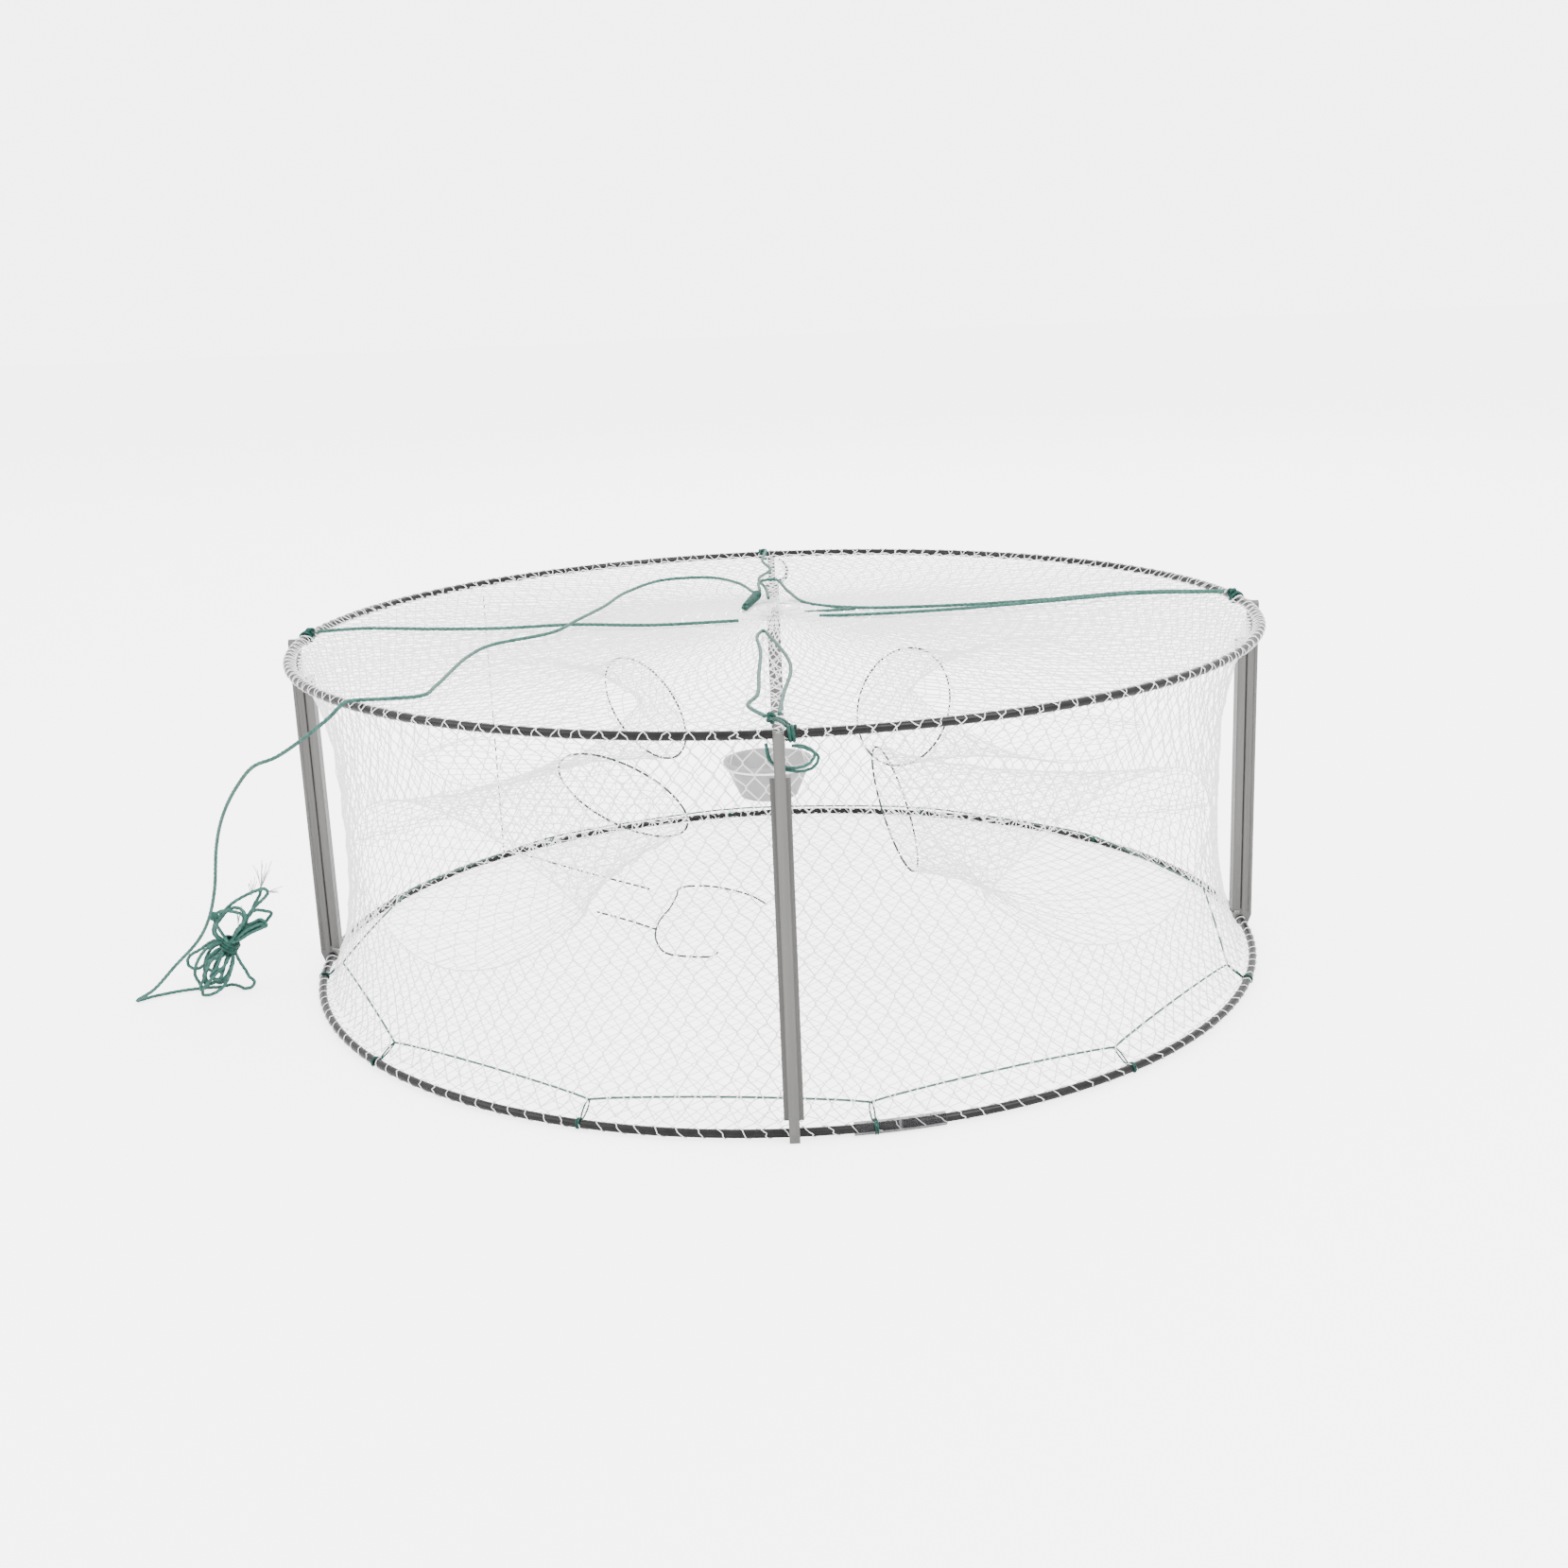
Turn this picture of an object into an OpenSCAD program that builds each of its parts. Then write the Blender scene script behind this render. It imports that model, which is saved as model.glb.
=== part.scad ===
// Folding crab trap: two rod hoops held apart by four clip-in bars, with netting, funnels and cords.
// Origin: on the ground, on the axis of the hoops. +Z is up and -Y is the front.

/* [Hoops] */
// Outside diameter of both hoops
hoop_d = 325; // [200:1:600]
// Diameter of the hoop rod
rod_d = 2.5; // [2:0.1:6]
// Height of the top hoop's rod above the bottom hoop's rod, centre to centre
hoop_rise = 113; // [60:1:250]
// Height of the bottom hoop's rod above the ground
rod_lift = 2; // [1.5:0.1:6]
// Length of the sleeve that joins the rod ends of the bottom hoop
sleeve_l = 26; // [15:1:50]
// Outside diameter of the joining sleeve
sleeve_d = 3.9; // [3:0.1:8]

/* [Bars] */
// Width of the outer rib of a bar
rib_w = 3; // [2:0.1:6]
// Distance of the rib's outer face from the rod centre
rib_out = 4; // [3:0.1:8]
// Thickness of the rib in the radial direction
rib_t = 3.6; // [2:0.1:6]
// Width of the inner flange of a bar
flange_w = 5.6; // [4:0.1:10]
// Thickness of the inner flange
flange_t = 2.6; // [1:0.1:5]
// Thickness of the recessed web between rib and flange
web_t = 0.8; // [0.4:0.1:2]
// Height at which the flange starts above the bottom rod
flange_from = 3.5; // [3:0.5:20]
// Height at which the flange ends above the bottom rod
flange_to = 101; // [40:1:200]
// Height of the rib's rounded tip above the top rod
tip_over = 1.1; // [0.5:0.1:4]

/* [Netting] */
// Thickness of a net panel
net_t = 0.6; // [0.4:0.1:2]
// Radius of the side net at its waist
waist_r = 148.5; // [100:0.5:160]
// Drop of the top net's centre below its rim
top_sag = 3; // [0:0.5:10]
// Half width of an entrance on the side net
mouth_half_w = 58; // [30:1:70]
// Half height of an entrance on the side net
mouth_half_h = 25; // [10:1:45]
// Height of the middle of an entrance
mouth_z = 60; // [30:1:90]
// Diameter of the thin twine round the inner mouths
mouth_twine_d = 0.8; // [0.4:0.1:2]

/* [Bait cup] */
// Outside diameter of the cup at the top
cup_top_d = 31; // [20:1:60]
// Outside diameter of the cup at the bottom
cup_base_d = 20; // [10:1:50]
// Height of the cup
cup_h = 13; // [8:1:50]
// Wall of the cup
cup_wall = 1; // [0.6:0.1:2]
// Height of the cup's base above the ground
cup_z = 54.5; // [20:0.5:90]

/* [Cords] */
// Diameter of the green twine
twine_d = 1.2; // [0.8:0.1:3]
// Diameter of the thin lacing line above the bottom hoop
lacing_d = 0.6; // [0.3:0.1:2]
// Number of ties of the lacing line
tie_count = 12; // [6:1:24]
// Height of the lacing line above the ground
lacing_z = 6.5; // [4:0.5:15]

/* [Hidden] */

$fn = 64;
rod_r = rod_d / 2;
hoop_r = hoop_d / 2 - rod_r;
bottom_z = rod_lift;
top_z = rod_lift + hoop_rise;
mid_z = (bottom_z + top_z) / 2;
net_edge_r = hoop_r - 2.65;
edge_gap = 1.5;
running_gap = 0.05;
clip_r = rod_r + 0.75;
sleeve_angle = -79.5;
sleeve_span = sleeve_l / hoop_r * 180 / PI;
rod_gap = 0.4;
tie_d = 0.5;
tie_r = rod_r + 1;
lacing_r = 154.6;
turn_pitch = 0.84 * twine_d;
cup_x = -4;
sides = 8;
ring_points = 32;

// Inner mouth of each entrance: [direction, radius, sideways, height, half length, half width, tilt]
mouths = [
    [45, 62, -3, 74, 26, 19, 134],
    [135, 58, 9, 79, 25, 12, 50],
    [225, 64, -10, 67, 32, 11, 173],
    [315, 54, -1, 58, 25, 5.5, 112]
];

// Lens outline of an entrance, made of two arcs that meet in pinched corners
lens_r = (mouth_half_w * mouth_half_w + mouth_half_h * mouth_half_h) / (2 * mouth_half_h);
lens_shift = lens_r - mouth_half_h;

// Hand-set points that the twine follows, in millimetres
left_bridle = [[-157, 8, 117], [-143, 14, 116.4], [-120, 11, 115.8], [-96, 10, 115.2],
    [-70, 14, 114.7], [-42, 9, 114.3], [-12, 8, 114.8]];
right_bridle = [[157, 14.2, 117.2], [128, 24, 116.3], [94, 22, 115.3], [61, 21, 114.8],
    [29, 27, 114.4], [13, 37, 114.8], [6, 60, 115.6], [1, 80, 117.1], [-4, 77, 117.3], [-4.6, 54, 117.1]];
right_tail = [[156.4, 12.2, 117.2], [128, 21.4, 116.3], [98, 18.5, 115.4], [60, 13, 114.8],
    [34, 12, 114.5], [16, 14, 114.3]];
short_tail = [[29, 25.4, 114.4], [11, 22, 114.3]];
back_bridle = [[-2, 158, 117.2], [-3.5, 134, 116.3], [-0.5, 112, 116], [-5, 92, 115.8],
    [-2.5, 70, 115.6], [-1.5, 44, 116.2]];
pull_top = [[-6.8, 53.4, 116.8], [-13, 76, 117], [-25, 95, 116.6], [-42, 95, 116.3], [-55, 72, 115.8],
    [-61, 42, 115.9], [-68, 14, 116.3], [-75, -5, 115.7], [-93, -22, 115.5], [-98, -40, 115.6],
    [-101, -86, 116], [-103, -101, 116.2], [-112, -105, 116.6], [-122, -110, 117.4]];
pull_drop = [[-123.5, -111.5, 117], [-128, -112, 113], [-147, -100, 99.5], [-155, -96, 96],
    [-163, -88, 88], [-171, -78, 77], [-179, -63, 62], [-184, -54, 45], [-189, -48, 33],
    [-195, -43, 24], [-205, -39, 14], [-214, -36.5, 5], [-220.4, -35, 0.9], [-216, -31, 0.7],
    [-207, -26.5, 0.7], [-198, -24.6, 0.7]];
front_slack = [[-3.4, -148.6, 117], [-8, -132, 116.4], [-5.5, -118, 116], [-5, -86, 115.6],
    [-4.5, -50, 115.2], [-5.5, -22, 115], [-3.5, -14, 115], [-1.5, -24, 115], [4, -64, 115.2],
    [4.5, -84, 115.4], [2, -117, 116], [0.5, -146.6, 117]];
front_drop = [[3.4, -161, 111.7], [6.6, -160.6, 111.3], [9.3, -160.3, 109.2], [8, -160.2, 106.6],
    [4, -160.2, 105.4], [-2.4, -160.3, 107.6], [-3.4, -160.6, 112.4]];
floor_ring = [[-24, -16], [-26, -20], [-35, -19], [-42, -15], [-46, -3], [-47, 8], [-46, 21],
    [-43, 34], [-41, 49], [-40, 58], [-31, 59], [-22, 54], [-13, 45], [-7, 34]];

function wall_r(z) = waist_r + (net_edge_r - waist_r) * pow(abs(z - mid_z) / (hoop_rise / 2), 3);
function dir(a) = [cos(a), sin(a), 0];
function side(a) = [-sin(a), cos(a), 0];
function unit(v) = v / norm(v);
function flat_at(points, z) = [for (p = points) [p[0], p[1], z]];

// Point k of an entrance's outline on the side net
function lens_point(m, k) =
    let (a = 360 * k / ring_points,
        u = mouth_half_w * cos(a),
        v = (sqrt(lens_r * lens_r - u * u) - lens_shift) * sign(sin(a)),
        r = wall_r(mouth_z + v))
    sqrt(r * r - u * u) * dir(m[0]) + u * side(m[0]) + [0, 0, mouth_z + v];

// Point k of an entrance's inner mouth, a tilted oval square to its direction
function inner_point(m, k) =
    let (a = 360 * k / ring_points - m[6],
        u = m[4] * cos(a) * cos(m[6]) - m[5] * sin(a) * sin(m[6]),
        v = m[4] * cos(a) * sin(m[6]) + m[5] * sin(a) * cos(m[6]))
    m[1] * dir(m[0]) + (m[2] + u) * side(m[0]) + [0, 0, m[3] + v];

function inner_centre(m) = m[1] * dir(m[0]) + m[2] * side(m[0]) + [0, 0, m[3]];
function mouth_centre(m) = waist_r * dir(m[0]) + [0, 0, mouth_z];

// One ring of a funnel at share s of its length, grown or shrunk by half the net's thickness
function funnel_ring(m, s, grow) =
    let (c = mouth_centre(m) * (1 - s) + inner_centre(m) * s)
    [for (k = [0 : ring_points - 1])
        let (p = lens_point(m, k) * (1 - s) + inner_point(m, k) * s,
            w = p - c,
            narrow = 1 - 0.5 * s * (1 - s))
        c + w * narrow + unit(w) * grow];

// Closed skin over rings of equal length. When wrap is true the rings form a loop, and the
// second half is split along the mirrored diagonals, so that a thin wall's two faces match.
module skin(rings, wrap) {
    n = len(rings[0]);
    m = len(rings);
    last = wrap ? m - 1 : m - 2;
    walls = [for (i = [0 : last], j = [0 : n - 1])
        let (a = i * n + j, b = i * n + (j + 1) % n,
            c = ((i + 1) % m) * n + j, d = ((i + 1) % m) * n + (j + 1) % n)
        each wrap && i >= m / 2 ? [[a, b, d], [a, d, c]] : [[a, b, c], [b, d, c]]];
    caps = wrap ? [] : [[for (j = [n - 1 : -1 : 0]) j], [for (j = [0 : n - 1]) (m - 1) * n + j]];
    polyhedron(points = [for (ring = rings) each ring], faces = concat(walls, caps), convexity = 8);
}

// Round tube along points; ref is a direction that the path never runs along
module tube(points, d, ref = [0, 0, 1], closed = false) {
    n = len(points);
    rings = [for (i = [0 : n - 1])
        let (before = closed ? points[(i + n - 1) % n] : points[max(i - 1, 0)],
            after = closed ? points[(i + 1) % n] : points[min(i + 1, n - 1)],
            t = unit(after - before),
            across = unit(cross(ref, t)),
            up = cross(t, across))
        [for (k = [0 : sides - 1])
            let (a = -360 * k / sides) points[i] + d / 2 * (cos(a) * across + sin(a) * up)]];
    skin(rings, closed);
}

module ring_arc(r, d, z, from, span) {
    translate([0, 0, z]) rotate([0, 0, from])
        rotate_extrude(angle = span, $fn = 256) translate([r, 0]) circle(d = d, $fn = 32);
}

// Twine wound round the top hoop's rod, with a knot: inward is the knot's distance inside the
// rod's centre line and aside its distance along the rod, where a strand leads over to it
module rim_knot(a, turns, knot_r, inward = 1.2, aside = 0) {
    knot_at = [hoop_r - inward, aside, top_z + rod_r + 0.6];
    color([0.16, 0.42, 0.36]) rotate([0, 0, a]) difference() {
        union() {
            for (i = [0 : turns - 1])
                translate([hoop_r, (i - (turns - 1) / 2) * turn_pitch, top_z]) rotate([90, 0, 0])
                    rotate_extrude($fn = 48) translate([rod_r + twine_d / 2, 0]) circle(d = twine_d, $fn = 16);
            translate(knot_at) sphere(r = knot_r, $fn = 32);
            if (aside != 0)
                tube([[hoop_r - 0.6, 0.2 * aside, top_z + rod_r + 1], [hoop_r - 4, 0.4 * aside, top_z + 2.2],
                    knot_at], 1.6 * twine_d);
        }
        translate([hoop_r, 0, top_z]) rotate([90, 0, 0])
            cylinder(r = rod_r + 2 * running_gap, h = 4 * turns, center = true);
    }
}

module bottom_hoop() {
    color([0.1, 0.1, 0.11])
        ring_arc(hoop_r, rod_d, bottom_z, sleeve_angle + rod_gap / 2, 360 - rod_gap);
}

module top_hoop() {
    color([0.1, 0.1, 0.11]) translate([0, 0, top_z])
        rotate_extrude($fn = 256) translate([hoop_r, 0]) circle(d = rod_d, $fn = 32);
}

module hoop_sleeve() {
    color([0.62, 0.64, 0.66, 0.7]) translate([0, 0, bottom_z])
        rotate([0, 0, sleeve_angle - sleeve_span / 2])
        rotate_extrude(angle = sleeve_span, $fn = 256) translate([hoop_r, 0]) difference() {
            circle(d = sleeve_d, $fn = 32);
            circle(r = rod_r + 0.02, $fn = 32);
        }
}

module floor_net() {
    color([0.93, 0.94, 0.94])
        translate([0, 0, bottom_z - net_t / 2]) cylinder(r = net_edge_r, h = net_t, $fn = 256);
}

module floor_seam() {
    color([0.3, 0.32, 0.32])
        tube([[-108, 112, 2.8], [-95, 99, 2.8], [-81, 85, 2.8], [-66, 71, 2.8], [-52, 58, 2.8]],
            mouth_twine_d);
}

module floor_loop() {
    color([0.3, 0.36, 0.34]) {
        tube(flat_at(floor_ring, 2.8), mouth_twine_d);
        tube(flat_at([[-46.4, 10], [-58, 22], [-70, 33]], 2.8), mouth_twine_d);
    }
}

module floor_lacing() {
    color([0.25, 0.5, 0.44])
        tube([for (k = [0 : tie_count - 1]) lacing_r * dir(8 + 360 * k / tie_count) + [0, 0, lacing_z]],
            lacing_d, closed = true);
}

// Each tie is a loop over the rod, open underneath, and a short strand up to the lacing line
module lacing_ties() {
    color([0.25, 0.5, 0.44]) for (k = [0 : tie_count - 1]) rotate([0, 0, 8 + 360 * k / tie_count]) {
        translate([hoop_r, 0, bottom_z]) rotate([90, 0, 0])
            rotate([0, 0, -45]) rotate_extrude(angle = 270, $fn = 48)
            translate([tie_r, 0]) circle(d = tie_d, $fn = 16);
        tube([[hoop_r - 0.92 * tie_r, 0, bottom_z + 0.9], [156, 0, bottom_z + 1],
            [lacing_r + 0.3, 0, lacing_z]], tie_d, ref = [0, 1, 0]);
    }
}

module side_net() {
    z0 = bottom_z + edge_gap;
    z1 = top_z - edge_gap;
    steps = 24;
    heights = [for (i = [0 : steps]) z0 + (z1 - z0) * i / steps];
    outline = concat(
        [for (z = heights) [wall_r(z), z]],
        [for (i = [steps : -1 : 0]) [wall_r(heights[i]) - net_t, heights[i]]]);
    color([0.93, 0.94, 0.94, 0.5]) difference() {
        rotate_extrude($fn = 256) polygon(outline);
        for (m = mouths) rotate([0, 0, m[0]]) translate([waist_r - 30, 0, mouth_z])
            rotate([90, 0, 90]) linear_extrude(60) intersection() {
                translate([0, -lens_shift]) circle(r = lens_r, $fn = 128);
                translate([0, lens_shift]) circle(r = lens_r, $fn = 128);
            }
    }
}

// Straight thread from hoop to hoop where the netting's ends meet
module side_seam() {
    color([0.3, 0.32, 0.32]) translate((hoop_r - 1.95) * dir(136) + [0, 0, bottom_z])
        cylinder(d = mouth_twine_d, h = hoop_rise, $fn = 24);
}

module funnel(m) {
    shares = [0.02, 0.3, 0.6, 0.96];
    color([0.93, 0.94, 0.94, 0.5]) skin(concat(
        [for (s = shares) funnel_ring(m, s, net_t / 2)],
        [for (i = [3 : -1 : 0]) funnel_ring(m, shares[i], -net_t / 2)]), true);
}

module inner_mouth(m) {
    color([0.42, 0.47, 0.45])
        tube([for (k = [0 : ring_points - 1]) inner_point(m, k)], mouth_twine_d, dir(m[0]), true);
}

module pull_line_drop() {
    color([0.2, 0.5, 0.43]) tube(pull_drop, twine_d, ref = [0.2, 1, 0]);
}

// The standing bundle of the pull line: two lobes of turns that meet at the tie
module pull_line_hank() {
    color([0.2, 0.5, 0.43]) translate([-190, -24, 0]) rotate([90, 0, 0]) linear_extrude(10) union() {
        translate([-3.5, 11]) circle(r = 10.6);
        translate([-5, 11]) square([10, 16]);
        translate([5.5, 29]) circle(r = 8.5);
    }
}

module hank_knot() {
    color([0.08, 0.3, 0.25]) translate([-191, -35.7, 30]) sphere(r = 1.6, $fn = 32);
}

module top_net() {
    color([0.93, 0.94, 0.94, 0.5]) rotate_extrude($fn = 256) polygon([
        [0, top_z - top_sag - net_t / 2], [net_edge_r, top_z - net_t / 2],
        [net_edge_r, top_z + net_t / 2], [0, top_z - top_sag + net_t / 2]]);
}

// Netting drawn together where the top net's opening is tied shut
module top_gather() {
    color([0.95, 0.95, 0.95]) hull() {
        translate([0, 6, 115.5]) sphere(r = 2.6, $fn = 24);
        translate([3, 34, 116]) sphere(r = 2.4, $fn = 24);
    }
}

module centre_knot() {
    color([0.08, 0.3, 0.25]) hull() {
        translate([-10, 26, 116.2]) sphere(r = 1.8, $fn = 24);
        translate([-5.5, 50, 116.6]) sphere(r = 1.8, $fn = 24);
    }
}

module bridle(points) {
    color([0.2, 0.5, 0.43]) tube(points, twine_d);
}

module front_loop() {
    color([0.2, 0.5, 0.43]) {
        tube(front_slack, twine_d);
        tube(front_drop, twine_d, ref = [0, 1, 0]);
    }
}

module pull_line_top() {
    color([0.2, 0.5, 0.43]) tube(pull_top, twine_d);
}

// Three thin strings from the top net's centre to the cup's rim
module cup_hanger() {
    color([0.93, 0.94, 0.94]) for (a = [90, 210, 330])
        tube([[cup_x, 0, top_z - top_sag - 1.1],
            [cup_x, 0, cup_z + cup_h + 0.6] + (cup_top_d / 2 - 0.6) * dir(a)],
            mouth_twine_d, ref = side(a));
}

module bait_cup() {
    lip = 1.2;
    color([0.72, 0.73, 0.74, 0.8]) translate([cup_x, 0, cup_z]) rotate_extrude() polygon([
        [0, 0], [cup_base_d / 2, 0], [cup_top_d / 2 - 0.5, cup_h - lip], [cup_top_d / 2, cup_h - lip],
        [cup_top_d / 2, cup_h], [cup_top_d / 2 - cup_wall - 0.5, cup_h],
        [cup_base_d / 2 - cup_wall, cup_wall], [0, cup_wall]]);
}

module cup_tie() {
    color([0.93, 0.94, 0.94]) translate([cup_x, 0, cup_z + cup_h - 1.9])
        rotate_extrude() translate([cup_top_d / 2 - 0.35, 0]) circle(d = 0.8, $fn = 16);
}

module along_rod(x, z, r) {
    translate([x, 0, z]) rotate([90, 0, 0]) cylinder(r = r, h = rib_w + 4, center = true, $fn = 48);
}

// A bar standing on the X axis: hinge eye on the bottom hoop, open saddle for the top hoop
module bar_shape() {
    rib_x = hoop_r + rib_out - rib_t;
    tip_z = top_z + tip_over;
    slot_tilt = 33.3;
    intersection() {
        difference() {
            union() {
                translate([rib_x, 0, 0]) rotate([90, 0, 90]) linear_extrude(rib_t) union() {
                    translate([-rib_w / 2, 0]) square([rib_w, tip_z - rib_w / 2]);
                    translate([0, tip_z - rib_w / 2]) circle(d = rib_w, $fn = 48);
                }
                for (z = [bottom_z, top_z]) translate([hoop_r, 0, z]) rotate([90, 0, 0])
                    cylinder(r = clip_r, h = rib_w, center = true, $fn = 48);
                translate([hoop_r - 0.4, -0.9, bottom_z + flange_from])
                    cube([web_t + 0.2, 1.8, flange_to - flange_from]);
                translate([hoop_r - 0.4 - flange_t, -flange_w / 2, bottom_z + flange_from])
                    cube([flange_t, flange_w, flange_to - flange_from]);
            }
            along_rod(hoop_r, bottom_z, rod_r + running_gap);
            along_rod(hoop_r, top_z, rod_r + running_gap);
            translate([hoop_r, 0, top_z]) rotate([0, -slot_tilt, 0])
                translate([-12, -4, -rod_r - running_gap]) cube([12, 8, 2 * (rod_r + running_gap)]);
            translate([hoop_r - 12, -4, top_z]) cube([12, 8, 6]);
            for (s = [-1, 1]) translate([rib_x + 1, s * rib_w / 2 - 0.25, 4.5])
                cube([1.6, 0.5, hoop_rise - 8]);
        }
        translate([hoop_r - 10, 0, 0]) rotate([90, 0, 0]) linear_extrude(12, center = true)
            polygon([[0, 0], [10 + rib_out - 1.3, 0], [10 + rib_out, 3.4], [10 + rib_out, tip_z], [0, tip_z]]);
    }
}

module strut(a) {
    color([0.58, 0.58, 0.56]) rotate([0, 0, a]) bar_shape();
}

bottom_hoop();
hoop_sleeve();
floor_net();
floor_seam();
floor_loop();
floor_lacing();
lacing_ties();
side_net();
side_seam();
funnel(mouths[0]);  // funnel_back_right
funnel(mouths[1]);  // funnel_back_left
funnel(mouths[2]);  // funnel_front_left
funnel(mouths[3]);  // funnel_front_right
inner_mouth(mouths[0]);  // mouth_back_right
inner_mouth(mouths[1]);  // mouth_back_left
inner_mouth(mouths[2]);  // mouth_front_left
inner_mouth(mouths[3]);  // mouth_front_right
pull_line_drop();
pull_line_hank();
hank_knot();
top_hoop();
top_net();
top_gather();
centre_knot();
bridle(left_bridle);  // bridle_left
union() {  // bridle_right
    bridle(right_bridle);
    bridle(short_tail);
}
bridle(right_tail);  // bridle_right_tail
bridle(back_bridle);  // bridle_back
rim_knot(177, 4, 2);  // rim_knot_left
rim_knot(4.5, 4, 2);  // rim_knot_right
rim_knot(-88.8, 2, 1.6, 10.6, -4.8);  // rim_knot_front
rim_knot(91.2, 3, 1.8);  // rim_knot_back
front_loop();
pull_line_top();
cup_hanger();
bait_cup();
cup_tie();
strut(0);  // strut_right
strut(90);  // strut_back
strut(180);  // strut_left
strut(270);  // strut_front
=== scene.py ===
"""Looks of the folding crab trap: netting, twine, rods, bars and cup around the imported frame."""
import math

import bpy
import numpy as np
from mathutils import Matrix, Vector


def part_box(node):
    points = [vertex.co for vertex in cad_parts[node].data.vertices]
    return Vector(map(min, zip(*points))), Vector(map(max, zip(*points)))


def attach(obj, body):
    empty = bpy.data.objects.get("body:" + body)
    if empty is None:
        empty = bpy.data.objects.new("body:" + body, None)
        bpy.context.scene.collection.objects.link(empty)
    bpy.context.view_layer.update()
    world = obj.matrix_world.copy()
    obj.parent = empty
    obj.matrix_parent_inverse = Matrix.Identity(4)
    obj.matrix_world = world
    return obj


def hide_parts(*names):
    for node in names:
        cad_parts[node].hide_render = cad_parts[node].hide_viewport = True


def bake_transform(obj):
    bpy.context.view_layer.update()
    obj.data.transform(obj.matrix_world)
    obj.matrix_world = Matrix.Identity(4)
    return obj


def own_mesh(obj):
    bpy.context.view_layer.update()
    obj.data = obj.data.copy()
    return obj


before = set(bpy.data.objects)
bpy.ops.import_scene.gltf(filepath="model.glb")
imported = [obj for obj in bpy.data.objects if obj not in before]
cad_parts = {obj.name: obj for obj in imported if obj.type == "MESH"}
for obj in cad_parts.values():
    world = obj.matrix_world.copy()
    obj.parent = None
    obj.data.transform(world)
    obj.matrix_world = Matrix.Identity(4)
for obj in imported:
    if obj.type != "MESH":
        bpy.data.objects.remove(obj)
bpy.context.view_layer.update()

MM = 0.001
TAU = 2 * math.pi
rng = np.random.default_rng(11)


# ---------------------------------------------------------------- measures from the frame
def middle(node, axis):
    lo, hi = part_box(node)
    return round((lo[axis] + hi[axis]) / 2, 5)


top_lo, top_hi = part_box("top_hoop")
ROD_R = round((top_hi.z - top_lo.z) / 2, 5)
HOOP_R = round(top_hi.x - ROD_R, 5)
Z_TOP = middle("top_hoop", 2)
Z_BOTTOM = middle("bottom_hoop", 2)
Z_MID = (Z_TOP + Z_BOTTOM) / 2
HALF = (Z_TOP - Z_BOTTOM) / 2
NET_R = HOOP_R - 2.65 * MM
WAIST_R = 148.5 * MM
MOUTH_W, MOUTH_H, MOUTH_Z = 58 * MM, 25 * MM, 60 * MM
MOUTHS = [
    ("back_right", 45, 62, -3, 74, 26, 19, 134),
    ("back_left", 135, 58, 9, 79, 25, 12, 50),
    ("front_left", 225, 64, -10, 67, 32, 11, 173),
    ("front_right", 315, 54, -1, 58, 25, 5.5, 112),
]
LENS_R = (MOUTH_W**2 + MOUTH_H**2) / (2 * MOUTH_H)
LENS_SHIFT = LENS_R - MOUTH_H


# ---------------------------------------------------------------- camera in front of the trap
def make_camera():
    yaw, pitch, roll = 0.00198634, 0.263342770, -0.0405891629
    forward = Vector((math.sin(yaw) * math.cos(pitch), math.cos(yaw) * math.cos(pitch), -math.sin(pitch)))
    level = Vector((math.cos(yaw), -math.sin(yaw), 0))
    upright = level.cross(forward)
    right = math.cos(roll) * level + math.sin(roll) * upright
    up = -math.sin(roll) * level + math.cos(roll) * upright
    data = bpy.data.cameras.new("camera")
    data.sensor_width = 36
    data.lens = 44.337
    data.clip_start, data.clip_end = 0.05, 20
    cam = bpy.data.objects.new("camera", data)
    bpy.context.scene.collection.objects.link(cam)
    turn = Matrix((right, up, -forward)).transposed().to_4x4()
    cam.matrix_world = Matrix.Translation((0, -0.64962, 0.23315)) @ turn
    bpy.context.scene.camera = cam


make_camera()


# ---------------------------------------------------------------- materials
def shader(name, color, rough, **sockets):
    """A principled material; sockets are named with underscores for spaces."""
    mat = bpy.data.materials.new(name)
    mat.use_nodes = True
    bsdf = mat.node_tree.nodes["Principled BSDF"]
    bsdf.inputs["Base Color"].default_value = (*color, 1)
    bsdf.inputs["Roughness"].default_value = rough
    for key, value in sockets.items():
        bsdf.inputs[key.replace("_", " ")].default_value = value
    return mat, bsdf


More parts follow.
